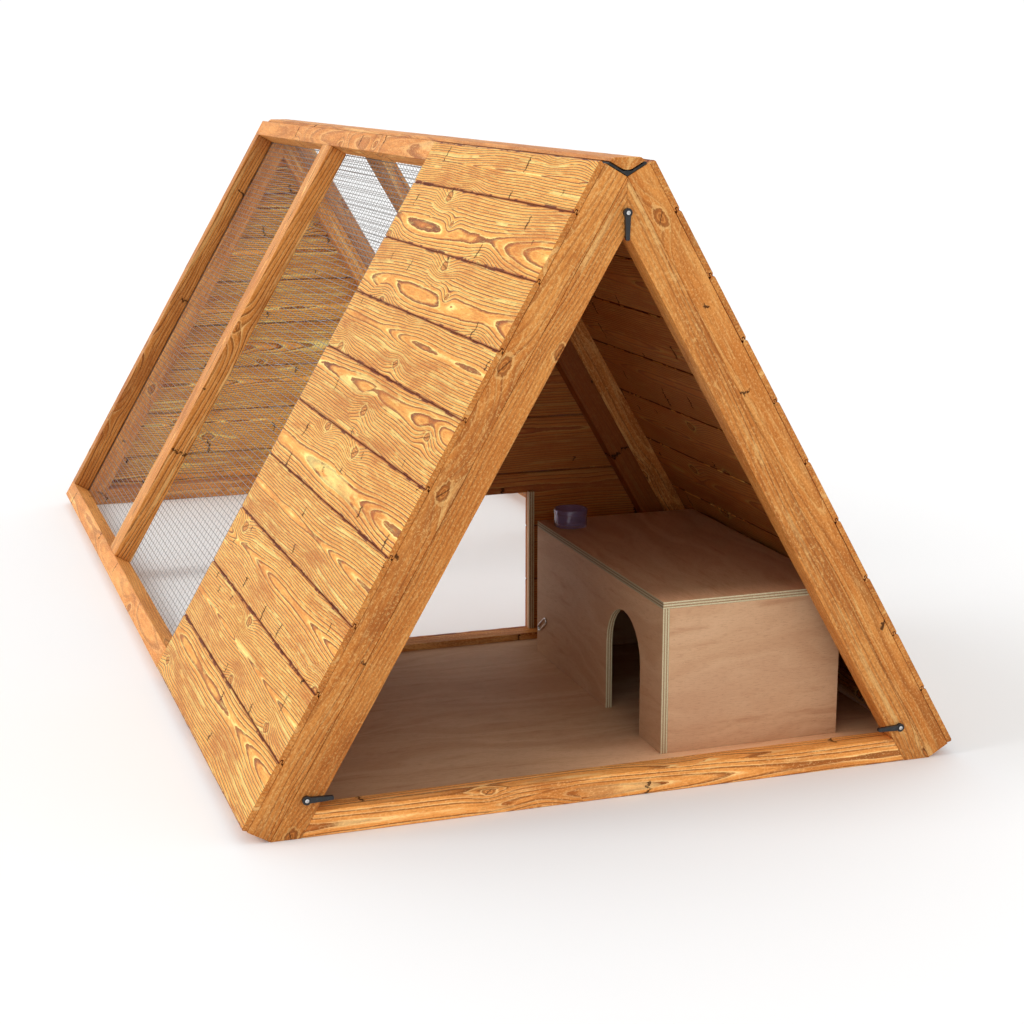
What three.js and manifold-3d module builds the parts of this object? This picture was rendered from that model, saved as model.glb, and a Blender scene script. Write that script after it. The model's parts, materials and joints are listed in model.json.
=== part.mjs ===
// Triangular rabbit hutch (ark): a boarded shelter at the front, a wire run behind it, a closed rear gable.
// Units are millimetres, +Z is up and the open shelter end faces -Y.
// Each slope is described by s, the distance down the slope from the apex line, and by t, the distance
// outward from the inner face of the side panels. "along" is the distance back from the front face.

import * as THREE from 'three';
import { mergeVertices } from 'three/addons/utils/BufferGeometryUtils.js';
import Module from 'manifold-3d';

const wasm = await Module();
wasm.setup();

// Overall: each slope is half of a 2.4 m sheet or board, and both stand at 60 degrees
const SLOPE = 1200;
const LENGTH = 2608;
const PITCH = Math.PI / 3;
const SIN = Math.sin(PITCH);
const COS = Math.cos(PITCH);
const TAN = Math.tan(PITCH);
const APEX = SLOPE * SIN;
const GAP = 0.3;

// Framing stock and where the frames stand along the length
const STOCK = 43;
const SHELTER_FRAME = 828;
const SHELTER_FRAME_WIDE = 70;
const SHELTER_END = SHELTER_FRAME + SHELTER_FRAME_WIDE;
const RUN_FRAME = 1699;
const RUN_FRAME_WIDE = 86;
const SILL = 43;

// Tongue-and-groove boards
const BOARD_THICK = 10;
const BOARD_PITCH = 123.1;
const BOARD_COUNT = 10;
const BOARD_INNER = STOCK + GAP;
const BOARD_OUTER = BOARD_INNER + BOARD_THICK;
const CHAMFER = 2.2;
const TONGUE_INNER = BOARD_INNER + 3.2;
const TONGUE_OUTER = BOARD_INNER + 6.4;
const TONGUE_LENGTH = 5.5;
const GROOVE_DEPTH = 6.2;

// The run's framing stands further out than the shelter's, so that it finishes level with the boards
const RUN_INNER = BOARD_OUTER - STOCK;
const RUN_OUTER = BOARD_OUTER;

// Wire mesh, drawn as a coarse grille
const WIRE = 3;
const MESH_OUTER = RUN_INNER - GAP;
const MESH_INNER = MESH_OUTER - 2.4;
const MESH_TOP = 6;
const MESH_BOTTOM = 1190;
const MESH_ROWS = 6;
const MESH_COLUMNS = 8;

// Gable boards
const GABLE = 10;
const TIP_BELOW_APEX = 2;
const JOINT_WIDTH = 4;
const JOINT_DEPTH = 2.2;
const PARTITION_PITCH = 116.5;
const PARTITION_FIRST_JOINT = 148.5;
const PARTITION_BASE = 2;

// Pop-hole and its plywood jamb
const HOLE_LEFT = -170;
const HOLE_RIGHT = 139;
const HOLE_TOP = 338;
const JAMB_WIDTH = 12;
const JAMB_DEPTH = 12;
const JAMB_TOP = 341.5;

// Shelter floor
const FLOOR_TOP = 30;
const PLY = 12;

// Nest box
const NEST_LEFT = 117;
const NEST_RIGHT = 462;
const NEST_FRONT = 96;
const NEST_BACK = 743;
const NEST_TOP = 307;
const DOOR_FRONT = 195;
const DOOR_BACK = 358;
const DOOR_SPRING = 162;
const DOOR_STEPS = 12;

// Small pot on the nest box
const POT_X = 165;
const POT_ALONG = 679;
const POT_RADIUS = 34;
const POT_HEIGHT = 37;
const POT_WALL = 4;
const POT_BASE = 6;
const POT_CHAMFER = 2;
const POT_SIDES = 40;

// Ridge wedge and the sealing strip under it, as half-widths and as heights above the inner apex
const WEDGE_TOP = 30;
const WEDGE_TOP_HALF = 23;
const WEDGE_SHOULDER = 24.5;
const WEDGE_SHOULDER_HALF = 31;
const WEDGE_BELLY = 11.8;
const WEDGE_BELLY_HALF = 8.5;
const WEDGE_FOOT = 10.2;
const WEDGE_FOOT_HALF = 4;
const STRIP_HALF = 33.4;
const STRIP_THICK = 3.6;
const STRIP_CREST = 8.8;
const STRIP_CREST_HALF = 3.6;
const STRIP_FLANK_HALF = 7;

// Turn buttons: name, place across, height, and the way the tail points
const BUTTON_HEAD = 7.4;
const BUTTON_BORE = 2.3;
const BUTTON_LENGTH = 44;
const BUTTON_TIP = 3.4;
const BUTTON_TIP_CHAMFER = 1.4;
const BUTTON_NECK = 4.8;
const BUTTON_THICK = 6;
const BUTTON_STEPS = 16;
const BUTTONS = [
  ['turn_button_top', 0, 983, -Math.PI / 2],
  ['turn_button_left', -540, 65, 0],
  ['turn_button_right', 535, 65, Math.PI],
];

// How near two corners must be to count as one, and how far a cutting block runs past what it cuts
const WELD = 1e-4;
const CUT_PAST = 1;

// The front face lies half the overall length in front of the origin, less half the buttons' stand-off
const FRONT_Y = -LENGTH / 2 + (BUTTON_THICK + GAP) / 2;

const PINE = ['stained_pine', 0xb5712c, 0.5, 0];
const PLYWOOD = ['plywood', 0xb08a66, 0.6, 0];
const STEEL = ['galvanised_wire', 0x9a9ea0, 0.4, 0.9];
const RUBBER = ['black_strip', 0x101010, 0.8, 0];
const PLASTIC = ['black_plastic', 0x15181a, 0.45, 0];
const GLASS = ['violet_glass', 0x5b4f86, 0.1, 0];

const hutch = new THREE.Group();
hutch.name = 'rabbit_hutch';

function addPart(name, geometry, [slot, color, roughness, metalness]) {
  const material = new THREE.MeshStandardMaterial({ color, roughness, metalness });
  material.name = slot;
  const mesh = new THREE.Mesh(geometry, material);
  mesh.name = name;
  hutch.add(mesh);
}

function shapeFrom(points) {
  return new THREE.Shape(points.map(([u, v]) => new THREE.Vector2(u, v)));
}

function extrude(shape, depth) {
  return new THREE.ExtrudeGeometry(shape, { depth, bevelEnabled: false, steps: 1 });
}

// A prism whose cross-section is drawn in X and Z and which runs along the length
function prismAlong(section, from, to) {
  const shape = Array.isArray(section) ? shapeFrom(section) : section;
  const geometry = extrude(shape, to - from);
  geometry.rotateX(Math.PI / 2);
  geometry.translate(0, FRONT_Y + to, 0);
  return geometry;
}

function box(x0, x1, from, to, z0, z1) {
  return prismAlong([[x0, z0], [x1, z0], [x1, z1], [x0, z1]], from, to);
}

function onSlope(side, s, t) {
  return [side * (s * COS + t * SIN), APEX - s * SIN + t * COS];
}

// Half-width between the two planes at offset t, at height z
function halfWidth(z, t) {
  return (APEX - z) / TAN + t / SIN;
}

// A rectangle in the slope's own axes
function slopeBar(side, s0, s1, t0, t1, from, to) {
  const corners = [[s0, t0], [s1, t0], [s1, t1], [s0, t1]];
  return prismAlong(corners.map(([s, t]) => onSlope(side, s, t)), from, to);
}

function weld(geometry) {
  const plain = geometry.clone();
  plain.deleteAttribute('normal');
  plain.deleteAttribute('uv');
  return mergeVertices(plain, WELD);
}

function toSolid(geometry) {
  const welded = weld(geometry);
  const vertProperties = new Float32Array(welded.attributes.position.array);
  const triVerts = new Uint32Array(welded.index.array);
  return new wasm.Manifold(new wasm.Mesh({ numProp: 3, vertProperties, triVerts }));
}

function fromSolid(solid) {
  const mesh = solid.getMesh();
  const geometry = new THREE.BufferGeometry();
  geometry.setAttribute('position', new THREE.BufferAttribute(new Float32Array(mesh.vertProperties), 3));
  geometry.setIndex(new THREE.BufferAttribute(new Uint32Array(mesh.triVerts), 1));
  geometry.computeVertexNormals();
  return geometry;
}

// Cladding board: tongue on the upper edge, groove on the lower edge, chamfered outer arrises
function boardSection(side, top, bottom, hasTongue, hasGroove) {
  const profile = [[top + CHAMFER, BOARD_OUTER], [bottom - CHAMFER, BOARD_OUTER]];
  profile.push([bottom, BOARD_OUTER - CHAMFER]);
  if (hasGroove) {
    profile.push([bottom, TONGUE_OUTER + GAP], [bottom - GROOVE_DEPTH, TONGUE_OUTER + GAP]);
    profile.push([bottom - GROOVE_DEPTH, TONGUE_INNER - GAP], [bottom, TONGUE_INNER - GAP]);
  }
  profile.push([bottom, BOARD_INNER], [top, BOARD_INNER]);
  if (hasTongue) {
    profile.push([top, TONGUE_INNER], [top - TONGUE_LENGTH, TONGUE_INNER]);
    profile.push([top - TONGUE_LENGTH, TONGUE_OUTER], [top, TONGUE_OUTER]);
  }
  profile.push([top, BOARD_OUTER - CHAMFER]);
  return profile.map(([s, t]) => onSlope(side, s, t));
}

function addCladding(prefix, side) {
  for (let course = 1; course <= BOARD_COUNT; course += 1) {
    const bottom = SLOPE - (course - 1) * BOARD_PITCH - (course > 1 ? GAP : 0);
    const top = Math.max(SLOPE - course * BOARD_PITCH, GAP);
    const section = boardSection(side, top, bottom, course < BOARD_COUNT, course > 1);
    addPart(`${prefix}_board_${String(course).padStart(2, '0')}`, prismAlong(section, 0, SHELTER_END), PINE);
  }
}

// A block in the slope's own axes, drawn level and then laid on the slope
function slopeBlock(side, from, to, s0, s1, t0, t1) {
  const block = new THREE.BoxGeometry(to - from, s1 - s0, t1 - t0);
  block.translate(-side * (from + to) / 2, (s0 + s1) / 2, (t0 + t1) / 2);
  const lengthwise = new THREE.Vector3(0, -side, 0);
  const downSlope = new THREE.Vector3(side * COS, 0, -SIN);
  const outward = new THREE.Vector3(side * SIN, 0, COS);
  const placement = new THREE.Matrix4().makeBasis(lengthwise, downSlope, outward);
  placement.setPosition(0, FRONT_Y, APEX);
  block.applyMatrix4(placement);
  return toSolid(block);
}

// A rail as long as the hutch, less the front rafter, and rebated along the shelter to take the boards
function addRail(name, side, s0, s1) {
  const rail = slopeBlock(side, STOCK + GAP, LENGTH, s0, s1, RUN_INNER, RUN_OUTER);
  const rebateEnd = SHELTER_END + GAP;
  const rebate = slopeBlock(side, 0, rebateEnd, s0 - CUT_PAST, s1 + CUT_PAST, STOCK, RUN_OUTER + CUT_PAST);
  addPart(name, fromSolid(rail.subtract(rebate)), PINE);
}

// Side panel: a front rafter, two rails running back from it and rafters fitted between the rails
function addSidePanel(prefix, side) {
  const upper = STOCK + GAP;
  const lower = SLOPE - STOCK - GAP;
  addPart(`${prefix}_front_rafter`, slopeBar(side, GAP, SLOPE, 0, STOCK, 0, STOCK), PINE);
  addRail(`${prefix}_top_rail`, side, GAP, STOCK);
  addRail(`${prefix}_bottom_rail`, side, SLOPE - STOCK, SLOPE);
  const rafters = [
    ['shelter_rafter', SHELTER_FRAME, SHELTER_END, 0],
    ['run_rafter', RUN_FRAME, RUN_FRAME + RUN_FRAME_WIDE, RUN_INNER],
    ['end_rafter', LENGTH - STOCK, LENGTH, RUN_INNER],
  ];
  for (const [name, from, to, inner] of rafters) {
    addPart(`${prefix}_${name}`, slopeBar(side, upper, lower, inner, inner + STOCK, from, to), PINE);
  }
}

// Flat bars between openings cut from a sheet, the same way on both slopes
function addMesh(prefix, side, from, to) {
  let sheet = slopeBlock(side, from, to, MESH_TOP, MESH_BOTTOM, MESH_INNER, MESH_OUTER);
  const columnPitch = (to - from - WIRE) / MESH_COLUMNS;
  const rowPitch = (MESH_BOTTOM - MESH_TOP - WIRE) / MESH_ROWS;
  for (let column = 0; column < MESH_COLUMNS; column += 1) {
    const a0 = from + WIRE + column * columnPitch;
    const a1 = from + (column + 1) * columnPitch;
    for (let row = 0; row < MESH_ROWS; row += 1) {
      const s0 = MESH_TOP + WIRE + row * rowPitch;
      const s1 = MESH_TOP + (row + 1) * rowPitch;
      const opening = slopeBlock(side, a0, a1, s0, s1, MESH_INNER - CUT_PAST, MESH_OUTER + CUT_PAST);
      sheet = sheet.subtract(opening);
    }
  }
  addPart(`${prefix}_run_mesh`, fromSolid(sheet), STEEL);
}

// Inner rafter of a cross frame: plumb mitre at the apex, cut level under the ridge and at the ground
function innerRafterSection(side, outer, inner) {
  const middle = GAP / 2;
  const top = APEX - TIP_BELOW_APEX;
  return [
    [side * halfWidth(0, outer), 0],
    [side * halfWidth(top, outer), top],
    [side * middle, top],
    [side * middle, APEX - (middle - inner / SIN) * TAN],
    [side * halfWidth(0, inner), 0],
  ];
}

function sillSection(inner) {
  const low = halfWidth(0, inner) - GAP / SIN;
  const high = halfWidth(SILL, inner) - GAP / SIN;
  return [[-low, 0], [low, 0], [high, SILL], [-high, SILL]];
}

function addCrossFrame(prefix, outer, from) {
  const inner = outer - STOCK;
  const to = from + STOCK;
  addPart(`${prefix}_left_rafter`, prismAlong(innerRafterSection(-1, outer, inner), from, to), PINE);
  addPart(`${prefix}_right_rafter`, prismAlong(innerRafterSection(1, outer, inner), from, to), PINE);
  addPart(`${prefix}_sill`, prismAlong(sillSection(inner), from, to), PINE);
}

// Gable boarding with a shallow open joint between boards on both faces
function gableBoards(base, offset, from, joints, hole) {
  const top = APEX - TIP_BELOW_APEX;
  const shape = shapeFrom([
    [-halfWidth(base, offset), base],
    [halfWidth(base, offset), base],
    [halfWidth(top, offset), top],
    [-halfWidth(top, offset), top],
  ]);
  if (hole) {
    shape.holes.push(new THREE.Path(hole.map(([u, v]) => new THREE.Vector2(u, v))));
  }
  const back = from + GABLE;
  let solid = toSolid(prismAlong(shape, from, back));
  for (const z of joints) {
    const low = z - JOINT_WIDTH / 2;
    const high = z + JOINT_WIDTH / 2;
    const near = toSolid(box(-SLOPE, SLOPE, from - JOINT_DEPTH, from + JOINT_DEPTH, low, high));
    const far = toSolid(box(-SLOPE, SLOPE, back - JOINT_DEPTH, back + JOINT_DEPTH, low, high));
    solid = solid.subtract(near).subtract(far);
  }
  return fromSolid(solid);
}

function jointHeights(first, pitch) {
  const heights = [];
  for (let z = first; z < APEX - pitch / 2; z += pitch) {
    heights.push(z);
  }
  return heights;
}

function addNestBox() {
  const bottom = FLOOR_TOP + GAP;
  const under = NEST_TOP - PLY - GAP;
  const inLeft = NEST_LEFT + PLY + GAP;
  const inRight = NEST_RIGHT - PLY - GAP;
  const inFront = NEST_FRONT + PLY + GAP;
  const radius = (DOOR_BACK - DOOR_FRONT) / 2;
  const centre = (DOOR_BACK + DOOR_FRONT) / 2;
  const outline = [[NEST_FRONT, bottom], [DOOR_FRONT, bottom]];
  for (let i = 0; i <= DOOR_STEPS; i += 1) {
    const angle = Math.PI - (Math.PI * i) / DOOR_STEPS;
    outline.push([centre + radius * Math.cos(angle), DOOR_SPRING + radius * Math.sin(angle)]);
  }
  outline.push([DOOR_BACK, bottom], [NEST_BACK, bottom], [NEST_BACK, under], [NEST_FRONT, under]);
  const leftSide = extrude(shapeFrom(outline), PLY);
  const lengthwise = new THREE.Vector3(0, 1, 0);
  const upward = new THREE.Vector3(0, 0, 1);
  const across = new THREE.Vector3(1, 0, 0);
  leftSide.applyMatrix4(new THREE.Matrix4().makeBasis(lengthwise, upward, across));
  leftSide.translate(NEST_LEFT, FRONT_Y, 0);
  addPart('nest_left_side', leftSide, PLYWOOD);
  addPart('nest_front', box(inLeft, NEST_RIGHT, NEST_FRONT, NEST_FRONT + PLY, bottom, under), PLYWOOD);
  addPart('nest_right_side', box(inRight + GAP, NEST_RIGHT, inFront, NEST_BACK, bottom, under), PLYWOOD);
  addPart('nest_back', box(inLeft, inRight, NEST_BACK - PLY, NEST_BACK, bottom, under), PLYWOOD);
  addPart('nest_lid', box(NEST_LEFT, NEST_RIGHT, NEST_FRONT, NEST_BACK, NEST_TOP - PLY, NEST_TOP), PLYWOOD);
}

function addPot() {
  const inner = POT_RADIUS - POT_WALL;
  const outside = [[0, 0], [POT_RADIUS - POT_CHAMFER, 0], [POT_RADIUS, POT_CHAMFER], [POT_RADIUS, POT_HEIGHT]];
  const inside = [[inner, POT_HEIGHT], [inner, POT_BASE], [0, POT_BASE]];
  const profile = [...outside, ...inside];
  const pot = new THREE.LatheGeometry(profile.map(([r, z]) => new THREE.Vector2(r, z)), POT_SIDES);
  pot.rotateX(Math.PI / 2);
  pot.translate(POT_X, FRONT_Y + POT_ALONG, NEST_TOP + GAP);
  addPart('water_pot', pot, GLASS);
}

function mirrored(right) {
  const left = right.map(([x, z]) => [-x, z]).reverse();
  return [...right, ...left.filter(([x]) => x !== 0)];
}

function addRidge() {
  const wedge = mirrored([[WEDGE_FOOT_HALF, WEDGE_FOOT], [WEDGE_BELLY_HALF, WEDGE_BELLY],
    [WEDGE_SHOULDER_HALF, WEDGE_SHOULDER], [WEDGE_TOP_HALF, WEDGE_TOP]]);
  const under = (x) => x / TAN + GAP / SIN;
  const over = (x) => under(x) + STRIP_THICK / SIN;
  const tipHalf = STRIP_HALF - STRIP_THICK * COS;
  const strip = mirrored([[0, under(0)], [STRIP_HALF, under(STRIP_HALF)], [tipHalf, over(tipHalf)],
    [STRIP_FLANK_HALF, over(STRIP_FLANK_HALF)], [STRIP_CREST_HALF, STRIP_CREST]]);
  addPart('ridge_wedge', prismAlong(wedge.map(([x, z]) => [x, APEX + z]), 0, LENGTH), PINE);
  addPart('ridge_strip', prismAlong(strip.map(([x, z]) => [x, APEX + z]), 0, LENGTH), RUBBER);
}

function buttonSection(x, z, heading) {
  const outline = [];
  const neck = Math.asin(BUTTON_NECK / BUTTON_HEAD);
  for (let i = 0; i <= BUTTON_STEPS; i += 1) {
    const angle = neck + ((2 * Math.PI - 2 * neck) * i) / BUTTON_STEPS;
    outline.push([BUTTON_HEAD * Math.cos(angle), BUTTON_HEAD * Math.sin(angle)]);
  }
  const shoulder = BUTTON_LENGTH - BUTTON_TIP_CHAMFER;
  const flat = BUTTON_TIP - BUTTON_TIP_CHAMFER;
  outline.push([shoulder, -BUTTON_TIP], [BUTTON_LENGTH, -flat], [BUTTON_LENGTH, flat], [shoulder, BUTTON_TIP]);
  const bore = [];
  for (let i = 0; i < BUTTON_STEPS; i += 1) {
    const angle = (2 * Math.PI * i) / BUTTON_STEPS;
    bore.push([BUTTON_BORE * Math.cos(angle), BUTTON_BORE * Math.sin(angle)]);
  }
  const place = ([u, v]) => [x + u * Math.cos(heading) - v * Math.sin(heading),
    z + u * Math.sin(heading) + v * Math.cos(heading)];
  const shape = shapeFrom(outline.map(place));
  shape.holes.push(new THREE.Path(bore.map(place).map(([u, v]) => new THREE.Vector2(u, v))));
  return shape;
}

// Cross frames, front to back
const partitionBack = SHELTER_FRAME + STOCK;
const gableFront = LENGTH - GABLE;
addCrossFrame('front_frame', -GAP, 0);
addCrossFrame('partition', -GAP, SHELTER_FRAME);
addCrossFrame('rear_frame', MESH_INNER - GAP, gableFront - GAP - STOCK);

// Side panels, their boards and their mesh
for (const [prefix, side] of [['left', -1], ['right', 1]]) {
  addSidePanel(prefix, side);
  addCladding(prefix, side);
  addMesh(prefix, side, SHELTER_END + GAP, gableFront - GAP);
}

// Gables and the pop-hole jamb
const popHole = [[HOLE_LEFT, SILL], [HOLE_RIGHT, SILL], [HOLE_RIGHT, HOLE_TOP], [HOLE_LEFT, HOLE_TOP]];
const partitionJoints = jointHeights(PARTITION_FIRST_JOINT, PARTITION_PITCH);
const rearJoints = jointHeights(BOARD_PITCH, BOARD_PITCH);
const partition = gableBoards(PARTITION_BASE, -GAP, partitionBack + GAP, partitionJoints, popHole);
const rearGable = gableBoards(0, RUN_INNER - GAP, gableFront, rearJoints, null);
addPart('partition_boards', partition, PINE);
addPart('rear_gable_boards', rearGable, PINE);
addPart('pop_hole_jamb', box(HOLE_RIGHT, HOLE_RIGHT + JAMB_WIDTH, partitionBack - JAMB_DEPTH, partitionBack,
  SILL + GAP, JAMB_TOP), PLYWOOD);

// Shelter floor, its side edges bevelled to the slopes
const floorUnder = FLOOR_TOP - PLY;
const floorLow = halfWidth(floorUnder, -GAP);
const floorHigh = halfWidth(FLOOR_TOP, -GAP);
addPart('shelter_floor', prismAlong([[-floorLow, floorUnder], [floorLow, floorUnder], [floorHigh, FLOOR_TOP],
  [-floorHigh, FLOOR_TOP]], STOCK + GAP, SHELTER_FRAME - GAP), PLYWOOD);

addNestBox();
addPot();
addRidge();

for (const [name, x, z, heading] of BUTTONS) {
  addPart(name, prismAlong(buttonSection(x, z, heading), -BUTTON_THICK - GAP, -GAP), PLASTIC);
}

export default hutch;
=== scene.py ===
"""The rabbit hutch's looks: stained timber, plywood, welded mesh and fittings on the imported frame."""

import json
import math
import random

import bmesh
import bpy
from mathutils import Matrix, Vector, noise


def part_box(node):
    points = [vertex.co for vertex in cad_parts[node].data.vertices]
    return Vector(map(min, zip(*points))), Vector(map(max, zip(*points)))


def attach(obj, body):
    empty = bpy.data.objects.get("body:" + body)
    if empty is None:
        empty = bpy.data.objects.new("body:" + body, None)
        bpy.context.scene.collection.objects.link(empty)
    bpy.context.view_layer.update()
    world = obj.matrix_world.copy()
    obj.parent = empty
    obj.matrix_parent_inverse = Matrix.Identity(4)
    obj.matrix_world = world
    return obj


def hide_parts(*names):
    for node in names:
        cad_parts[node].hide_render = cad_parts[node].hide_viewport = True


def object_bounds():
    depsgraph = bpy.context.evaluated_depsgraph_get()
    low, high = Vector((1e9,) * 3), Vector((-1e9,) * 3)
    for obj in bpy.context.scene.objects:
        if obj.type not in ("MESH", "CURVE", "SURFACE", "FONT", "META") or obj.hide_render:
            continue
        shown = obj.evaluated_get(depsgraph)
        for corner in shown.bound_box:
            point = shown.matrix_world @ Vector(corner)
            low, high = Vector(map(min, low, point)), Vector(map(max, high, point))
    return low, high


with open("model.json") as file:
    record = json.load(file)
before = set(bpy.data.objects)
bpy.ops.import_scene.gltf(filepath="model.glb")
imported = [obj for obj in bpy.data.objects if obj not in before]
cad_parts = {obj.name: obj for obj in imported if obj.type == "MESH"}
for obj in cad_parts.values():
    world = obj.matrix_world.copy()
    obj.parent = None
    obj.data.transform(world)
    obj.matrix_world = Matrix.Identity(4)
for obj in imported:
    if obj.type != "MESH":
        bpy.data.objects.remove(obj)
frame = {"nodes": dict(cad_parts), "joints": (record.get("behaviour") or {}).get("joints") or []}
cad_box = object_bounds()
NODES = frame["nodes"]

# Seeds the random numbers of each piece, but not Blender's noise_vector: wander says more.
SEED = 1907
# Points nearer than WELD count as one, and points within SAME_LEVEL of a face's height lie on it.
WELD = 1e-5
SAME_LEVEL = WELD * 10
X_AXIS = Vector((1, 0, 0))
Y_AXIS = Vector((0, 1, 0))
Z_AXIS = Vector((0, 0, 1))
SLOPE = math.radians(60)
SIDES = {"left": -1, "right": 1}
# A face looks along an axis when the two directions' dot product is above this.
FACING = 0.8


# ---------------------------------------------------------------- directions


def down(side):
    """Unit vector down that side's slope."""
    return Vector((side * math.cos(SLOPE), 0, -math.sin(SLOPE)))


def outward(side):
    """Unit vector out of that side's slope."""
    return Vector((side * math.sin(SLOPE), 0, math.cos(SLOPE)))


def extent(node, axis):
    """Lowest and highest distance of a CAD node along an axis."""
    reach = [v.co.dot(axis) for v in NODES[node].data.vertices]
    return min(reach), max(reach)


# ---------------------------------------------------------------- material graph


def srgb(red, green, blue):
    """An 8-bit display colour as linear RGBA."""
    shares = [c / 255 for c in (red, green, blue)]
    linear = [c / 12.92 if c <= 0.04045 else ((c + 0.055) / 1.055) ** 2.4 for c in shares]
    return (*linear, 1.0)


class Graph:
    """A short way to write the nodes of one material."""

    def __init__(self, name):
        self.material = bpy.data.materials.new(name)
        self.material.use_nodes = True
        self.tree = self.material.node_tree
        self.tree.nodes.clear()

    def add(self, kind, **settings):
        node = self.tree.nodes.new(kind)
        for key, value in settings.items():
            setattr(node, key, value)
        return node

    def feed(self, socket, value):
        if isinstance(value, bpy.types.NodeSocket):
            self.tree.links.new(value, socket)
        else:
            socket.default_value = value

    def math(self, operation, a, b=0.0, c=0.0, clamp=False):
        node = self.add("ShaderNodeMath", operation=operation, use_clamp=clamp)
        for socket, value in zip(node.inputs, (a, b, c)):
            self.feed(socket, value)
        return node.outputs[0]

    def total(self, *values):
        out = values[0]
        for value in values[1:]:
            out = self.math("ADD", out, value)
        return out

    def product(self, *values):
        out = values[0]
        for value in values[1:]:
            out = self.math("MULTIPLY", out, value)
        return out

    def length(self, a, b):
        squares = self.total(self.product(a, a), self.product(b, b))
        return self.math("SQRT", squares)

    def step(self, value, low, high):
        """0 below low and 1 above high, smooth in between. Low may be the larger."""
        node = self.add("ShaderNodeMapRange", interpolation_type="SMOOTHSTEP")
        self.feed(node.inputs["Value"], value)
        self.feed(node.inputs["From Min"], low)
        self.feed(node.inputs["From Max"], high)
        return node.outputs["Result"]

    def spread(self, value, low, high):
        """Takes 0 to 1 to low to high."""
        return self.math("MULTIPLY_ADD", value, high - low, low)

    def mix(self, factor, a, b, blend="MIX"):
        node = self.add("ShaderNodeMix", data_type="RGBA", blend_type=blend)
        self.feed(node.inputs[0], factor)
        self.feed(node.inputs[6], a)
        self.feed(node.inputs[7], b)
        return node.outputs[2]

    def attribute(self, name, output="Vector"):
        return self.add("ShaderNodeAttribute", attribute_name=name).outputs[output]

    def split(self, vector):
        node = self.add("ShaderNodeSeparateXYZ")
        self.feed(node.inputs[0], vector)
        return node.outputs[0], node.outputs[1], node.outputs[2]

    def join(self, x, y, z=0.0):
        node = self.add("ShaderNodeCombineXYZ")
        for socket, value in zip(node.inputs, (x, y, z)):
            self.feed(socket, value)
        return node.outputs[0]

    def scaled(self, vector, factors):
        node = self.add("ShaderNodeVectorMath", operation="MULTIPLY")
        self.feed(node.inputs[0], vector)
        self.feed(node.inputs[1], factors)
        return node.outputs[0]

    def noise(self, vector, factors, detail=2.0, roughness=0.5):
        """Soft noise from 0 to 1, with factors features in a metre along each axis."""
        node = self.add("ShaderNodeTexNoise")
        self.feed(node.inputs["Vector"], self.scaled(vector, factors))
        self.feed(node.inputs["Scale"], 1.0)
        self.feed(node.inputs["Detail"], detail)
        self.feed(node.inputs["Roughness"], roughness)
        return node.outputs["Fac"]

    def cells(self, x, y, x_cell, y_cell, randomness=0.7):
        """Nearest scattered point: distances to it along x and y in metres, and its random numbers."""
        node = self.add("ShaderNodeTexVoronoi", voronoi_dimensions="2D", feature="F1")
        place = self.join(self.math("DIVIDE", x, x_cell), self.math("DIVIDE", y, y_cell))
        self.feed(node.inputs["Vector"], place)
        self.feed(node.inputs["Scale"], 1.0)
        self.feed(node.inputs["Randomness"], randomness)
        px, py, _ = self.split(node.outputs["Position"])
        dx = self.math("SUBTRACT", x, self.product(px, x_cell))
        dy = self.math("SUBTRACT", y, self.product(py, y_cell))
        colour = self.add("ShaderNodeSeparateColor")
        self.feed(colour.inputs[0], node.outputs["Color"])
        return dx, dy, colour.outputs[0], colour.outputs[1], colour.outputs[2]

    def random(self, value):
        node = self.add("ShaderNodeTexWhiteNoise", noise_dimensions="1D")
        self.feed(node.inputs["W"], value)
        return node.outputs["Value"]

    def ramp(self, value, stops):
        node = self.add("ShaderNodeValToRGB")
        self.feed(node.inputs[0], value)
        ramp = node.color_ramp
        for place, colour in stops[1:-1]:
            ramp.elements.new(place).color = colour
        ramp.elements[0].position, ramp.elements[0].color = stops[0]
        ramp.elements[-1].position, ramp.elements[-1].color = stops[-1]
        return node.outputs[0]

    def bump(self, height, distance, strength=1.0, after=None):
        node = self.add("ShaderNodeBump")
        self.feed(node.inputs["Strength"], strength)
        self.feed(node.inputs["Distance"], distance)
        self.feed(node.inputs["Height"], height)
        if after is not None:
            self.feed(node.inputs["Normal"], after)
        return node.outputs[0]

    def surface(self, **inputs):
        shader = self.add("ShaderNodeBsdfPrincipled")
        for name, value in inputs.items():
            self.feed(shader.inputs[name.replace("_", " ")], value)
        out = self.add("ShaderNodeOutputMaterial")
        self.feed(out.inputs["Surface"], shader.outputs[0])
        return self.material


# ---------------------------------------------------------------- stained pine

FRAME_STAIN = {
    "dark": srgb(112, 54, 16),
    "brown": srgb(168, 94, 38),
    "orange": srgb(208, 128, 56),
    "gold": srgb(226, 150, 74),
    "pale": srgb(252, 202, 128),
    "ring": 0.0068,
    "ring_contrast": (0.05, 0.62),
    "clouds": 0.7,
    "streaks": 0.3,
    "speckle": 0.46,
    "knot_size": (0.005, 0.011),
    "crack_above": 0.8,
}
BOLD_STAIN = {**FRAME_STAIN, "ring": 0.0056, "ring_contrast": (0.45, 1.0), "speckle": 0.25}
BOARD_STAIN = {
    "dark": srgb(110, 48, 10),
    "brown": srgb(186, 102, 36),
    "orange": srgb(226, 144, 58),
    "gold": srgb(246, 182, 88),
    "pale": srgb(255, 234, 142),
    "ring": 0.0049,
    "ring_contrast": (0.8, 1.0),
    "clouds": 0.62,
    "streaks": 0.42,
    "speckle": 0.2,
    "knot_size": (0.004, 0.012),
    "crack_above": 0.55,
}
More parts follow.
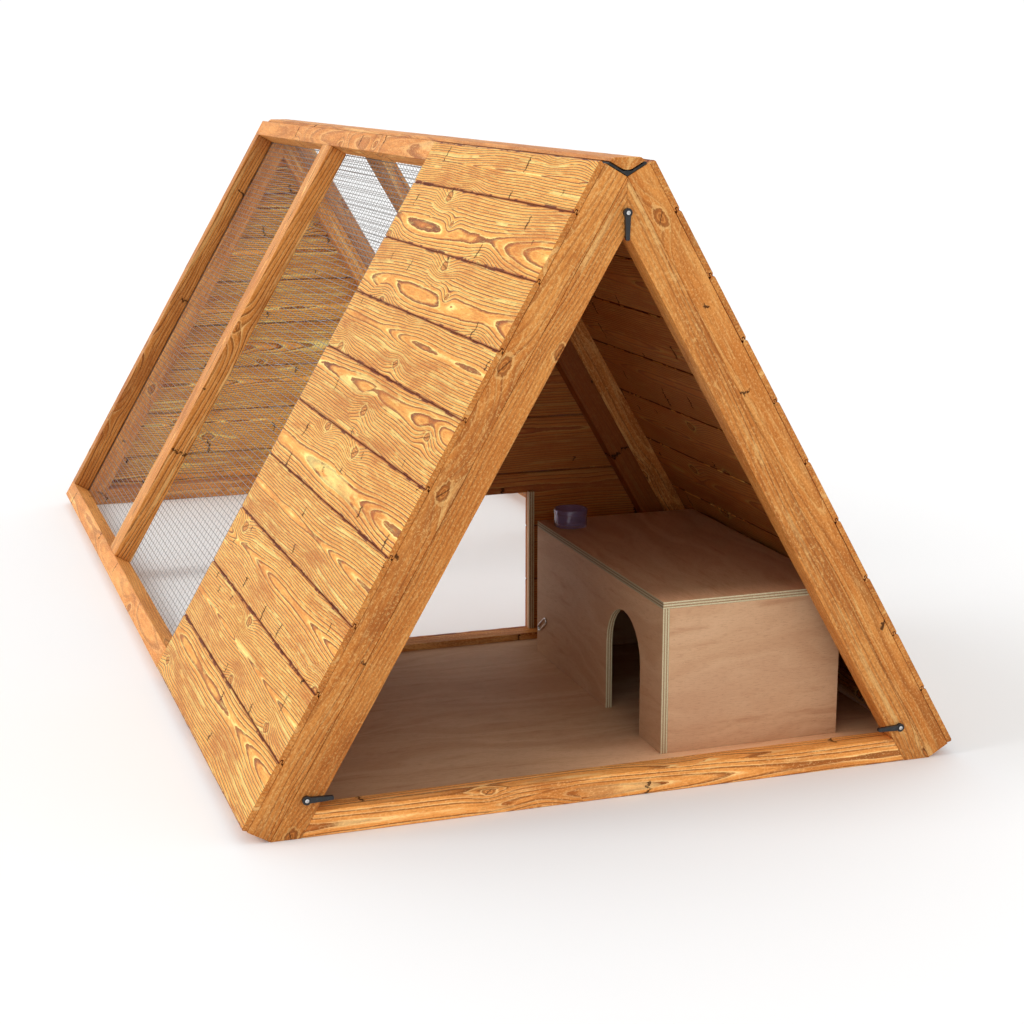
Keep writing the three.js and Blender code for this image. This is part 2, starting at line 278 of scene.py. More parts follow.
CRACK_BROWN = srgb(58, 26, 8)
# A tone that falls between the two bounds turns the wood towards the colour: the brown of a dark joint,
# its stain with painted shade in the groove, and the reddish brown painted shade of wood out of the
# light.
JOINT_BROWN = srgb(112, 44, 10)
JOINT_TONES = (0.36, 0.26)
SHADED_WOOD_BROWN = srgb(224, 134, 76)
SHADED_WOOD_TONES = (0.8, 0.62)
# Sizes of the cells that hold at most one knot, or one crack, along the grain and across it.
KNOT_CELL = (0.27, 0.1)
CRACK_CELL = (0.17, 0.066)


def knots(g, u, across, coords, sizes):
    """Scattered knots: push on the rings, heart, rim, outline, crack, and the ragged distance."""
    du, dv, here, size, turn = g.cells(u, across, *KNOT_CELL, 0.85)
    present = g.step(here, 0.5, 0.54)
    radius = g.spread(size, *sizes)
    ragged = g.spread(g.noise(coords, (70, 90, 90), 3.0, 0.65), 0.35, 1.65)
    distance = g.length(g.product(du, 0.55), dv)
    share = g.math("DIVIDE", distance, radius)
    falloff = g.math("EXPONENT", g.product(share, share, -0.1))
    push = g.product(present, falloff, radius, 1.7)
    torn = g.product(share, ragged)
    heart = g.product(present, g.step(torn, 1.05, 0.8))
    rim = g.product(present, g.step(torn, 0.72, 0.9), g.step(torn, 1.16, 0.96))
    outline = g.product(present, g.step(torn, 1.0, 1.16), g.step(torn, 1.5, 1.26))
    line = g.math("ABSOLUTE", g.math("ADD", dv, g.product(du, g.spread(turn, -0.9, 0.9))))
    crack = g.product(heart, g.step(g.product(line, ragged), 0.0016, 0.0006), 0.7)
    return push, heart, rim, outline, crack, torn


def checks(g, u, across, coords, above):
    """Short dark cracks across the grain."""
    du, dv, here, size, turn = g.cells(u, across, *CRACK_CELL, 0.95)
    present = g.step(here, above, above + 0.003)
    jag = g.noise(coords, (40, 90, 90), 4.0, 0.75)
    offset = g.math("ADD", du, g.spread(jag, -0.02, 0.02))
    reach = g.spread(g.product(size, size, size), 0.005, 0.03)
    along = g.step(g.math("DIVIDE", g.math("ABSOLUTE", dv), reach), 1.0, 0.7)
    swell = g.spread(g.noise(coords, (80, 110, 110), 2.0, 0.6), 0.0, 2.2)
    width = g.product(g.spread(turn, 0.0018, 0.0034), swell)
    across_it = g.step(g.math("DIVIDE", g.math("ABSOLUTE", offset), width), 1.0, 0.5)
    return g.product(present, along, across_it)


def pine(name, stain, end_grain=False):
    """Softwood under a golden stain: the same rings run through face, edge and end."""
    g = Graph(name)
    dark, brown, orange = stain["dark"], stain["brown"], stain["orange"]
    gold, pale = stain["gold"], stain["pale"]
    coords = g.attribute("grain")
    tone = g.attribute("tone", "Fac")
    u, v, w = g.split(coords)
    across = g.math("ADD", v, w)
    push, heart, rim, outline, crack, torn = knots(g, u, across, coords, stain["knot_size"])
    sway = g.spread(g.noise(coords, (1.6, 3, 3), 1.0), -0.022, 0.022)
    ripple = g.spread(g.noise(coords, (6, 20, 20), 2.0), -0.0016, 0.0016)
    fray = g.spread(g.noise(coords, (50, 170, 170), 2.0), -0.0005, 0.0005)
    radius = g.total(g.length(v, w), g.product(u, 0.02), sway, ripple, fray, push)
    drift = g.spread(g.noise(g.join(radius, 0.0, 0.0), (38, 1, 1), 1.0), -0.004, 0.004)
    turns = g.math("DIVIDE", g.total(radius, drift), stain["ring"])
    phase = g.math("FRACT", turns)
    chance = g.random(g.math("FLOOR", turns))
    stops = [
        (0.0, pale),
        (0.06, pale),
        (0.17, gold),
        (0.45, orange),
        (0.58, gold),
        (0.72, brown),
        (0.84, dark),
        (0.93, dark),
        (1.0, brown),
    ]
    rings = g.ramp(phase, stops)
    blotch = g.noise(coords, (5, 22, 22), 3.0, 0.6)
    plain = g.mix(g.step(blotch, 0.38, 0.62), orange, gold)
    contrast = g.spread(chance, *stain["ring_contrast"])
    if end_grain:
        plain = g.mix(0.12, plain, brown)
        contrast = g.product(contrast, 0.3)
    colour = g.mix(contrast, plain, rings)
    flat = g.product(g.step(chance, 0.82, 0.86), g.step(blotch, 0.5, 0.56))
    colour = g.mix(g.product(flat, 0.55), colour, pale)
    cloud = g.noise(coords, (4, 18, 18), 4.0, 0.6)
    colour = g.mix(g.product(g.step(cloud, 0.47, 0.7), stain["clouds"]), colour, brown)
    streak = g.noise(coords, (16, 210, 210), 3.0, 0.6)
    colour = g.mix(g.product(g.step(streak, 0.52, 0.7), stain["streaks"]), colour, brown)
    colour = g.mix(g.product(g.step(streak, 0.46, 0.3), stain["streaks"]), colour, pale)
    fibre = g.noise(coords, (34, 620, 620), 3.0, 0.65)
    colour = g.mix(g.product(g.step(fibre, 0.52, 0.74), 0.4), colour, dark)
    speck = g.noise(coords, (210, 330, 330), 2.0, 0.75)
    colour = g.mix(g.product(g.step(speck, 0.54, 0.66), stain["speckle"]), colour, pale)
    colour = g.mix(g.product(g.step(speck, 0.46, 0.34), stain["speckle"]), colour, brown)
    # Painted shade: where the tone is low, out of the light, the wood turns reddish brown.
    colour = g.mix(g.product(g.step(tone, *SHADED_WOOD_TONES), 0.55), colour, SHADED_WOOD_BROWN)
    swirl = g.math("SINE", g.product(torn, 15.0))
    knot = g.mix(g.spread(swirl, 0.05, 0.85), brown, gold)
    colour = g.mix(g.product(heart, 0.75), colour, knot)
    colour = g.mix(g.product(rim, 0.5), colour, dark)
    colour = g.mix(g.product(outline, 0.42), colour, pale)
    split = g.math("MAXIMUM", crack, checks(g, u, across, coords, stain["crack_above"]))
    colour = g.mix(g.product(split, 0.88), colour, CRACK_BROWN)
    # The tone, a random one times the painted light and shade of the corner, darkens the colour and
    # warms it.
    warm = [g.math("POWER", tone, power) for power in (0.8, 1.0, 1.25)]
    colour = g.mix(1.0, colour, g.join(*warm), "MULTIPLY")
    # Dark joints in reddish brown, their stain with painted shade in the groove; it also deepens the
    # painted shade of the partition's rafters.
    colour = g.mix(g.product(g.step(tone, *JOINT_TONES), 0.75), colour, JOINT_BROWN)
    relief = g.total(
        g.product(g.step(phase, 0.2, 0.02), 0.9),
        g.product(g.step(phase, 0.96, 0.7), 0.5),
        g.product(streak, 0.7),
        g.product(fibre, 0.5),
        g.product(speck, 0.3),
        g.product(split, -2.4),
        g.product(rim, -0.6),
    )
    return g.surface(
        Base_Color=colour,
        Roughness=g.math("ADD", g.spread(cloud, 0.4, 0.6), g.product(split, 0.3)),
        Normal=g.bump(relief, 0.0011, 0.85),
        Coat_Weight=0.0 if end_grain else 0.04,
        Coat_Roughness=0.3,
        Specular_IOR_Level=0.12,
    )


# ---------------------------------------------------------------- plywood


VENEER = 0.0024


def ply_face(name):
    """Rotary-cut veneer: soft wide figure, short pores and a few warm streaks."""
    g = Graph(name)
    coords = g.attribute("grain")
    tone = g.attribute("tone", "Fac")
    bend = g.noise(coords, (3.0, 9.0, 9.0), 2.0, 0.55)
    u, v, _ = g.split(coords)
    lines = g.math("ADD", g.product(v, 26.0), g.product(bend, 6.0))
    figure = g.noise(g.join(g.product(u, 1.2), lines, 0.0), (1, 1, 1), 3.0, 0.6)
    base = g.mix(g.step(figure, 0.3, 0.7), srgb(190, 147, 110), srgb(204, 165, 128))
    warm = g.noise(coords, (7, 46, 46), 4.0, 0.6)
    base = g.mix(g.product(g.step(warm, 0.55, 0.75), 0.5), base, srgb(166, 112, 74))
    cloud = g.noise(coords, (3, 5, 5), 2.0)
    base = g.mix(g.product(g.step(cloud, 0.45, 0.7), 0.3), base, srgb(180, 136, 106))
    fibre = g.noise(coords, (60, 900, 900), 3.0, 0.7)
    base = g.mix(g.product(g.step(fibre, 0.5, 0.7), 0.45), base, srgb(146, 100, 66))
    pore = g.noise(coords, (180, 1500, 1500), 1.0, 0.5)
    pores = g.step(pore, 0.66, 0.74)
    base = g.mix(g.product(pores, 0.4), base, srgb(112, 74, 50))
    # The tone carries painted light: paler towards the front of the floor and lid, and lighter on the
    # nest front.
    base = g.mix(1.0, base, g.join(tone, tone, tone), "MULTIPLY")
    relief = g.total(g.product(fibre, 0.6), g.product(pores, -0.8), g.product(figure, 0.3))
    return g.surface(
        Base_Color=base,
        Roughness=g.spread(fibre, 0.5, 0.72),
        Normal=g.bump(relief, 0.00025, 0.7),
        Specular_IOR_Level=0.3,
    )


def ply_edge(name):
    """Cut edge of the sheet: crossed veneers in cream and grey-brown with dark glue lines."""
    g = Graph(name)
    coords = g.attribute("grain")
    _, _, depth = g.split(coords)
    layer = g.math("DIVIDE", depth, VENEER)
    inside = g.math("FRACT", layer)
    odd = g.math("MODULO", g.math("ADD", g.math("FLOOR", layer), 100.0), 2.0)
    rough = g.noise(coords, (420, 420, 900), 3.0, 0.7)
    pale = g.mix(g.step(rough, 0.35, 0.7), srgb(196, 184, 146), srgb(222, 212, 178))
    end = g.mix(g.step(rough, 0.35, 0.7), srgb(150, 116, 86), srgb(186, 156, 120))
    colour = g.mix(odd, pale, end)
    glue = g.math("ABSOLUTE", g.math("SUBTRACT", inside, 0.5))
    colour = g.mix(g.product(g.step(glue, 0.43, 0.48), 0.6), colour, srgb(96, 84, 66))
    # The tone carries painted light and shade: the nest front's edges lighter, the lid's left edge
    # darker.
    tone = g.attribute("tone", "Fac")
    colour = g.mix(1.0, colour, g.join(tone, tone, tone), "MULTIPLY")
    relief = g.total(g.product(rough, 0.8), g.product(odd, 0.4))
    return g.surface(
        Base_Color=colour,
        Roughness=0.75,
        Normal=g.bump(relief, 0.0003, 0.6),
        Specular_IOR_Level=0.2,
    )


# ---------------------------------------------------------------- metal, plastic, glass


def galvanised(name):
    g = Graph(name)
    place = g.add("ShaderNodeTexCoord").outputs["Object"]
    spangle = g.noise(place, (260, 260, 260), 2.0, 0.6)
    colour = g.mix(spangle, srgb(116, 116, 118), srgb(168, 167, 164))
    return g.surface(
        Base_Color=colour,
        Metallic=0.8,
        Roughness=g.spread(spangle, 0.3, 0.5),
        Normal=g.bump(spangle, 0.0001, 0.4),
    )


def steel(name):
    g = Graph(name)
    place = g.add("ShaderNodeTexCoord").outputs["Object"]
    scratch = g.noise(place, (900, 5000, 900), 2.0, 0.6)
    colour = g.mix(scratch, srgb(196, 196, 198), srgb(232, 232, 230))
    return g.surface(
        Base_Color=colour,
        Metallic=1.0,
        Roughness=g.spread(scratch, 0.18, 0.36),
        Normal=g.bump(scratch, 0.00003, 0.5),
    )


def black_plastic(name):
    g = Graph(name)
    place = g.add("ShaderNodeTexCoord").outputs["Object"]
    grain = g.noise(place, (2600, 2600, 2600), 2.0, 0.6)
    worn = g.noise(place, (160, 160, 160), 3.0, 0.6)
    colour = g.mix(g.step(worn, 0.5, 0.75), srgb(22, 23, 26), srgb(40, 42, 46))
    return g.surface(
        Base_Color=colour,
        Roughness=g.spread(worn, 0.26, 0.46),
        Normal=g.bump(grain, 0.00006, 0.5),
    )


def rubber(name):
    g = Graph(name)
    place = g.add("ShaderNodeTexCoord").outputs["Object"]
    dust = g.noise(place, (90, 30, 90), 4.0, 0.65)
    grain = g.noise(place, (1400, 1400, 1400), 2.0, 0.6)
    colour = g.mix(g.step(dust, 0.45, 0.8), srgb(20, 20, 21), srgb(58, 54, 50))
    return g.surface(
        Base_Color=colour,
        Roughness=g.spread(dust, 0.5, 0.75),
        Normal=g.bump(grain, 0.0001, 0.5),
    )


def violet_glass(name):
    g = Graph(name)
    place = g.add("ShaderNodeTexCoord").outputs["Object"]
    ripple = g.noise(place, (40, 40, 60), 2.0, 0.5)
    return g.surface(
        Base_Color=srgb(186, 166, 206),
        Roughness=0.05,
        IOR=1.5,
        Transmission_Weight=0.78,
        Normal=g.bump(ripple, 0.0004, 0.4),
    )


def white_floor(name):
    g = Graph(name)
    place = g.add("ShaderNodeTexCoord").outputs["Object"]
    mottled = g.noise(place, (0.6, 0.6, 0.6), 2.0, 0.5)
    colour = g.mix(mottled, srgb(244, 244, 244), srgb(247, 247, 247))
    return g.surface(Base_Color=colour, Roughness=0.75, Specular_IOR_Level=0.2)


FRAME_PINE = [pine("frame_pine", FRAME_STAIN), pine("frame_pine_end", FRAME_STAIN, end_grain=True)]
BOLD_PINE = [pine("bold_pine", BOLD_STAIN), FRAME_PINE[1]]
BOARD_PINE = [pine("board_pine", BOARD_STAIN), pine("board_pine_end", FRAME_STAIN, end_grain=True)]
PLY = ply_face("plywood_face")
PLY_EDGE = ply_edge("plywood_edge")
ZINC = galvanised("zinc_coated_wire")
STEEL = steel("bright_steel")
PLASTIC = black_plastic("satin_black_plastic")
RUBBER = rubber("black_rubber")
GLASS = violet_glass("tinted_glass")


# ---------------------------------------------------------------- mesh tools


SHARP_ANGLE = math.radians(25)
SMOOTH_ANGLE = math.radians(38)
FLAT_ANGLE = math.radians(1)


def reach_of(bm, axis):
    """Lowest and highest distance of a mesh along an axis."""
    reach = [v.co.dot(axis) for v in bm.verts]
    return min(reach), max(reach)


def cad_copy(node):
    """The CAD node's shape with its triangles joined into whole faces."""
    bm = bmesh.new()
    bm.from_mesh(NODES[node].data)
    bmesh.ops.remove_doubles(bm, verts=bm.verts, dist=WELD)
    bmesh.ops.dissolve_limit(
        bm, angle_limit=FLAT_ANGLE, verts=bm.verts, edges=bm.edges, use_dissolve_boundaries=False
    )
    return bm


def round_edges(bm, width, segments=2):
    """Eases the edges where two faces meet sharply."""
    sharp = [e for e in bm.edges if len(e.link_faces) == 2 and e.calc_face_angle(0) > SHARP_ANGLE]
    bmesh.ops.bevel(
        bm,
        geom=sharp,
        offset=width,
        segments=segments,
        profile=0.5,
        affect="EDGES",
        clamp_overlap=True,
    )


def slice_across(bm, axis, pitch):
    """Cuts the faces every pitch along an axis, so that long edges can wander."""
    low, high = reach_of(bm, axis)
    count = max(1, round((high - low) / pitch))
    for k in range(1, count):
        place = axis * (low + (high - low) * k / count)
        geom = bm.verts[:] + bm.edges[:] + bm.faces[:]
        bmesh.ops.bisect_plane(bm, geom=geom, plane_co=place, plane_no=axis, dist=WELD)


def wander(bm, axis, amount, per_metre, seed):
    """Moves every point a little, square to the axis, by soft noise that moves neighbours alike.

    The seed only shifts the place in the noise. Blender's noise_vector takes its own offsets from the
    clock, as noise.seed_set isn't called, so the points differ a little from run to run.
    """
    shift = Vector((seed * 3.1, seed * 7.7, seed * 1.3))
    for v in bm.verts:
        offset = noise.noise_vector(v.co * per_metre + shift) * amount
        v.co += offset - axis * offset.dot(axis)


def paint(mesh, axes, offset, tone, shade_at=None):
    """Writes the grain position of every point and the tone of every face's corner: a random tone times
    what shade_at gives, which holds the painted light and shade and the dark joints.
    """
    grain = [
        vert.co.dot(axis) + shift for vert in mesh.vertices for axis, shift in zip(axes, offset)
    ]
    shades = []
    for face in mesh.polygons:
        for index in face.vertices:
            share = shade_at(mesh.vertices[index].co, face.normal) if shade_at else 1.0
            shades.append(tone * share)
    mesh.attributes.new("grain", "FLOAT_VECTOR", "POINT")
    mesh.attributes.new("tone", "FLOAT", "CORNER")
    mesh.attributes["grain"].data.foreach_set("vector", grain)
    mesh.attributes["tone"].data.foreach_set("value", shades)


def finish_mesh(name, bm, materials):
    """Turns the working mesh into an object in the scene."""
    mesh = bpy.data.meshes.new(name)
    bmesh.ops.recalc_face_normals(bm, faces=bm.faces)
    bm.to_mesh(mesh)
    bm.free()
    for material in materials:
        mesh.materials.append(material)
    mesh.shade_smooth()
    mesh.set_sharp_from_angle(angle=SMOOTH_ANGLE)
    obj = bpy.data.objects.new(name, mesh)
    bpy.context.scene.collection.objects.link(obj)
    return obj


def keep_faces_flat(obj):
    """Lets the large faces set the normals, so that only the eased edges look round."""
    modifier = obj.modifiers.new("flat_faces", "WEIGHTED_NORMAL")
    modifier.keep_sharp = True
    modifier.weight = 100


def place_piece(obj, body, slot, *stands_for):
    """Puts a piece under the empty of the body that carries it and hides the CAD nodes that it stands
    for. The slot is not used.
    """
    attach(obj, body)
    if stands_for:
        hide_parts(*stands_for)


def piece_rng(name):
    """Random numbers that belong to a piece's name."""
    return random.Random(f"{SEED} {name}")


# ---------------------------------------------------------------- timber

# How pieces are finished: the width of the eased edge, the pitch of the cuts that let the long edges
# wander, and how far these stray.
FRAME_FINISH = (0.0015, 0.03, 0.0003)
BOARD_FINISH = (0.0006, 0.008, 0.0005)
GABLE_FINISH = (0.0006, 0.01, 0.0008)
# Waves in a metre of an uneven edge.
LONG_WAVES = 24.0
SHORT_WAVES = 90.0


def timber(name, bm, axes, materials, pith, finish, shade_at=None):
    """A stained piece with eased edges. Axes are along the grain, across it and through it.

    Pith says where the middle of the tree lies, seen from the piece's own: how far it may be across,
    and the least and the most that it may be through.
    """
    sideways, *depth = pith
    edge, slices, uneven = finish
    rng = piece_rng(name)
    centre = [sum(reach_of(bm, axis)) / 2 for axis in axes]
    round_edges(bm, edge)
    slice_across(bm, axes[0], slices)
    wander(bm, axes[0], uneven, LONG_WAVES, rng.random() * 10)
    wander(bm, axes[0], uneven * 0.5, SHORT_WAVES, rng.random() * 10)
    bm.normal_update()
    for face in bm.faces:
        face.material_index = 1 if abs(face.normal.dot(axes[0])) > FACING else 0
    obj = finish_mesh(name, bm, materials)
    offset = [
        rng.uniform(-3, 3) - centre[0],
        rng.uniform(-sideways, sideways) - centre[1],
        rng.choice((-1, 1)) * rng.uniform(*depth) - centre[2],
    ]
    paint(obj.data, axes, offset, rng.uniform(0.92, 1.08), shade_at)
    keep_faces_flat(obj)
    return obj


# Tones of single timbers, at the foot and at the top. The others are 1.0. The partition's rafters and
# sill are darker as painted shade inside the hutch; the other listed timbers are set lighter or darker,
# the front rafters darker towards the foot.
FRAME_SHADES = {
    "partition_left_rafter": (0.37, 0.4),
    "partition_right_rafter": (0.37, 0.4),
    "partition_sill": (0.8, 0.8),
    "front_frame_sill": (1.48, 1.48),
    "front_frame_left_rafter": (0.84, 1.0),
    "left_front_rafter": (0.84, 1.0),
    "front_frame_right_rafter": (0.86, 0.92),
    "right_front_rafter": (0.86, 0.92),
    "left_run_rafter": (1.2, 1.2),
    "left_bottom_rail": (1.18, 1.18),
    "left_end_rafter": (0.82, 0.86),
}
FRAME_PITH = (0.03, 0.012, 0.045)
# The front sill was sawn close to the middle of the tree, so its rings show as long arches.
FRONT_SILL_PITH = (0.006, -0.012, -0.01)
# Timbers whose rings stand out.
BOLD_FIGURE = ("front_frame_sill", "left_run_rafter", "left_end_rafter")


def add_frame_timber(node, axes):
    """A timber of the frame in place of its CAD node, with a tone that may change with height."""
    low, high = extent(node, Z_AXIS)
    foot_shade, top_shade = FRAME_SHADES.get(node, (1.0, 1.0))

    def shade_at(place, _):
        share = (place.z - low) / (high - low)
        return foot_shade + (top_shade - foot_shade) * share

    pith = FRONT_SILL_PITH if node == "front_frame_sill" else FRAME_PITH
    pine_pair = BOLD_PINE if node in BOLD_FIGURE else FRAME_PINE
    bm = cad_copy(node)
    obj = timber(node + "_wood", bm, axes, pine_pair, pith, FRAME_FINISH, shade_at)
    place_piece(obj, "hutch", "stained_pine", node)


def add_side_timber():
    for word, side in SIDES.items():
        along_slope = (down(side), Y_AXIS, outward(side))
        along_length = (Y_AXIS, down(side), outward(side))
        for part in ("front_rafter", "shelter_rafter", "run_rafter", "end_rafter"):
            add_frame_timber(f"{word}_{part}", along_slope)
        for part in ("top_rail", "bottom_rail"):
            add_frame_timber(f"{word}_{part}", along_length)
        for part in ("front_frame", "partition", "rear_frame"):
            add_frame_timber(f"{part}_{word}_rafter", along_slope)


def add_sills():
    for part in ("front_frame", "partition", "rear_frame"):
        add_frame_timber(f"{part}_sill", (X_AXIS, Z_AXIS, Y_AXIS))


BOARD_PITH = (0.03, 0.004, 0.024)
# Tones of the joints between boards, their stain with painted shade in the groove; of the side boards'
# inner faces, painted shade inside the hutch; and of the gables, painted shade on the partition inside
# the hutch and painted light on the rear gable.
JOINT_SHADE = 0.24
INSIDE_SHADE = 0.58
PARTITION_SHADE = 0.6
REAR_GABLE_SHADE = 1.05
# How far below a board's two faces the dark of its joint starts.
BOARD_JOINT_START = 0.0004
GABLE_JOINT_START = 0.0006
# A face that looks along the grain or through the board by this much is an end or a broad face.
BROAD_FACING = 0.95
# Half the gap between a gable's boards, and how far its outermost cuts pass it by.
HALF_GAP = 0.0002
CLEARANCE = 0.01


def joint_shade(axes, low, high, inside, rest=1.0):
    """Tones of a board: dark in the joints, between two depths, their stain with painted shade in the
    groove, and set on the inner face, which for the side boards is painted shade.
    """
    grain, _, through = axes

    def shade_at(place, normal):
        facing = max(abs(normal.dot(grain)), abs(normal.dot(through)))
        if facing < BROAD_FACING and low < place.dot(through) < high:
            return JOINT_SHADE
        return inside if normal.dot(through) < -FACING else rest

    return shade_at


def widen_seam(bm, across, through, outer_share=0.0016, inner_share=0.0024):
    """Draws both faces' long edges in, so that the joint between two boards reads as a vee."""
    inner, outer = reach_of(bm, through)
    for level, share in ((outer, outer_share), (inner, inner_share)):
        face = [v for v in bm.verts if abs(v.co.dot(through) - level) < SAME_LEVEL]
        places = [v.co.dot(across) for v in face]
        middle = (min(places) + max(places)) / 2
        for v, place in zip(face, places):
            v.co += across * (share if place < middle else -share)


def add_board(node, side):
    """A tongue-and-groove board of the shelter's side."""
    axes = (Y_AXIS, down(side), outward(side))
    bm = cad_copy(node)
    inner, outer = reach_of(bm, axes[2])
    widen_seam(bm, axes[1], axes[2])
    shade_at = joint_shade(axes, inner + BOARD_JOINT_START, outer - BOARD_JOINT_START, INSIDE_SHADE)
    obj = timber(node + "_wood", bm, axes, BOARD_PINE, BOARD_PITH, BOARD_FINISH, shade_at)
    place_piece(obj, "hutch", "stained_pine", node)


def add_boards():
    for word, side in SIDES.items():
        for node in sorted(n for n in NODES if n.startswith(f"{word}_board_")):
            add_board(node, side)


def joint_heights(bm, margin=0.001):
    """Heights of the grooves in a gable: two levels of points lie inside its thickness at each."""
    front, back = reach_of(bm, Y_AXIS)
    inside = [v.co.z for v in bm.verts if front + margin < v.co.y < back - margin]
    levels = sorted({round(z, 5) for z in inside})
    return [(a + b) / 2 for a, b in zip(levels[::2], levels[1::2])]


def cut_between(bm, low, high):
    """Keeps what is between two heights and closes the cuts."""
    for place, normal in ((low, -Z_AXIS), (high, Z_AXIS)):
        geom = bm.verts[:] + bm.edges[:] + bm.faces[:]
        bmesh.ops.bisect_plane(
            bm, geom=geom, plane_co=Z_AXIS * place, plane_no=normal, clear_outer=True, dist=WELD
        )
        open_edges = [e for e in bm.edges if e.is_boundary]
        bmesh.ops.holes_fill(bm, edges=open_edges, sides=0)


def add_gable(node, word, shade):
    """The gable's boards, each a piece of its own, parted at the CAD solid's grooves."""
    axes = (X_AXIS, Z_AXIS, Y_AXIS)
    whole = cad_copy(node)
    ground, top = reach_of(whole, Z_AXIS)
    front, back = reach_of(whole, Y_AXIS)
    levels = [ground - CLEARANCE, *joint_heights(whole), top + CLEARANCE]
    whole.free()
    shade_at = joint_shade(axes, front + GABLE_JOINT_START, back - GABLE_JOINT_START, shade, shade)
    for k, (low, high) in enumerate(zip(levels, levels[1:]), 1):
        bm = cad_copy(node)
        cut_between(bm, low + HALF_GAP, high - HALF_GAP)
        name = f"{word}_board_{k:02d}_wood"
        obj = timber(name, bm, axes, BOARD_PINE, BOARD_PITH, GABLE_FINISH, shade_at)
        place_piece(obj, "hutch", "stained_pine", node)


add_side_timber()
add_sills()
add_boards()
add_gable("partition_boards", "partition", PARTITION_SHADE)
add_gable("rear_gable_boards", "rear_gable", REAR_GABLE_SHADE)
add_frame_timber("ridge_wedge", (Y_AXIS, X_AXIS, Z_AXIS))


# ---------------------------------------------------------------- plywood pieces

# Sheets with painted light, paler towards the front, where light falls on them: how much paler, how far
# back that reaches, and the x at which it sets in. It has its full strength a ramp's width, given
# below, further right.
FRONT_PAINTED_LIGHT = {
    "shelter_floor": (1.0, 0.16, -0.15),
    "nest_lid": (0.7, 0.07, -1.0),
}
NO_PAINTED_LIGHT = (0.0, 1.0, 0.0)
PAINTED_LIGHT_RAMP = 0.25
# Pitches of the cuts that give a sheet with painted light points to carry the change, along y and x.
PAINTED_LIGHT_SLICES = (0.02, 0.05)
SHEET_EDGE = 0.0004


def add_ply(node, axes, tone=1.0, left_edge_shade=1.0):
    """A sheet with crisp eased edges. Axes are along the figure, across it and through the sheet."""
    amount, back, start = FRONT_PAINTED_LIGHT.get(node, NO_PAINTED_LIGHT)
    front = extent(node, Y_AXIS)[0]

    # Painted light: the broad faces of the floor and lid are paler towards the front. Painted shade:
    # the lid's left edge is darker, out of the light.
    def shade_at(place, normal):
        depth = max(0.0, 1 - (place.y - front) / back)
        ramp = min(1.0, max(0.0, (place.x - start) / PAINTED_LIGHT_RAMP))
        if abs(normal.dot(axes[2])) < FACING:
            return left_edge_shade if normal.x < -FACING else 1.0
        return 1 + amount * depth * ramp

    rng = piece_rng(node)
    bm = cad_copy(node)
    low = reach_of(bm, axes[2])[0]
    round_edges(bm, SHEET_EDGE)
    if amount:
        slice_across(bm, Y_AXIS, PAINTED_LIGHT_SLICES[0])
        slice_across(bm, X_AXIS, PAINTED_LIGHT_SLICES[1])
    bm.normal_update()
    for face in bm.faces:
        face.material_index = 0 if abs(face.normal.dot(axes[2])) > FACING else 1
    obj = finish_mesh(node + "_ply", bm, [PLY, PLY_EDGE])
    offset = (rng.uniform(-3, 3), rng.uniform(-3, 3), -low)
    paint(obj.data, axes, offset, tone * rng.uniform(0.97, 1.03), shade_at)
    keep_faces_flat(obj)
    place_piece(obj, "hutch", "plywood", node)


# The nest front's tone of 1.16 is painted light from the front; the lid's left edge at 0.6 is painted
# shade.
add_ply("shelter_floor", (X_AXIS, Y_AXIS, Z_AXIS), 1.05)
add_ply("nest_left_side", (Y_AXIS, Z_AXIS, X_AXIS))
add_ply("nest_right_side", (Y_AXIS, Z_AXIS, X_AXIS))
add_ply("nest_front", (X_AXIS, Z_AXIS, Y_AXIS), 1.16)
add_ply("nest_back", (X_AXIS, Z_AXIS, Y_AXIS))
add_ply("nest_lid", (Y_AXIS, X_AXIS, Z_AXIS), 1.06, 0.6)
add_ply("pop_hole_jamb", (Z_AXIS, Y_AXIS, X_AXIS))


# ---------------------------------------------------------------- welded mesh

# Radii of the wires, and their pitches. Length wires run along the hutch and lie outside.
LENGTH_WIRE = 0.00072
CROSS_WIRE = 0.0004
LENGTH_WIRE_PITCH = 0.0127
CROSS_WIRE_PITCH = 0.0254
WIRE_SIDES = 6
WIRE_STEP = 0.06
WIRE_STRAY = 0.0006
# Part of its radius by which a wire stands off the mesh's middle, so that crossing wires are fused.
WIRE_SEAT = 0.9


def add_wire(bm, start, end, across, out, radius, rng):
    """One wire that isn't quite straight, as a closed rod with a few sides."""
    run = end - start
    steps = max(2, round(run.length / WIRE_STEP))
    phase = rng.uniform(0, 99)
    rings = []
    for k in range(steps + 1):
        centre = start + run * k / steps
        stray = noise.noise(Vector((phase, k * 0.35, 0))) * WIRE_STRAY
        centre = centre + across * stray
        ring = []
        for j in range(WIRE_SIDES):
            turn = math.tau * j / WIRE_SIDES
            rim = across * math.cos(turn) + out * math.sin(turn)
            ring.append(bm.verts.new(centre + rim * radius))
        rings.append(ring)
    for a, b in zip(rings, rings[1:]):
        for j in range(WIRE_SIDES):
            n = (j + 1) % WIRE_SIDES
            bm.faces.new((a[j], a[n], b[n], b[j]))
    bm.faces.new(rings[0][::-1])
    bm.faces.new(rings[-1])


def spaced(low, high, pitch):
    """Places at pitch from low to high, with the rest shared between both ends."""
    count = math.floor((high - low) / pitch)
    first = low + ((high - low) - count * pitch) / 2
    return [first + pitch * k for k in range(count + 1)]


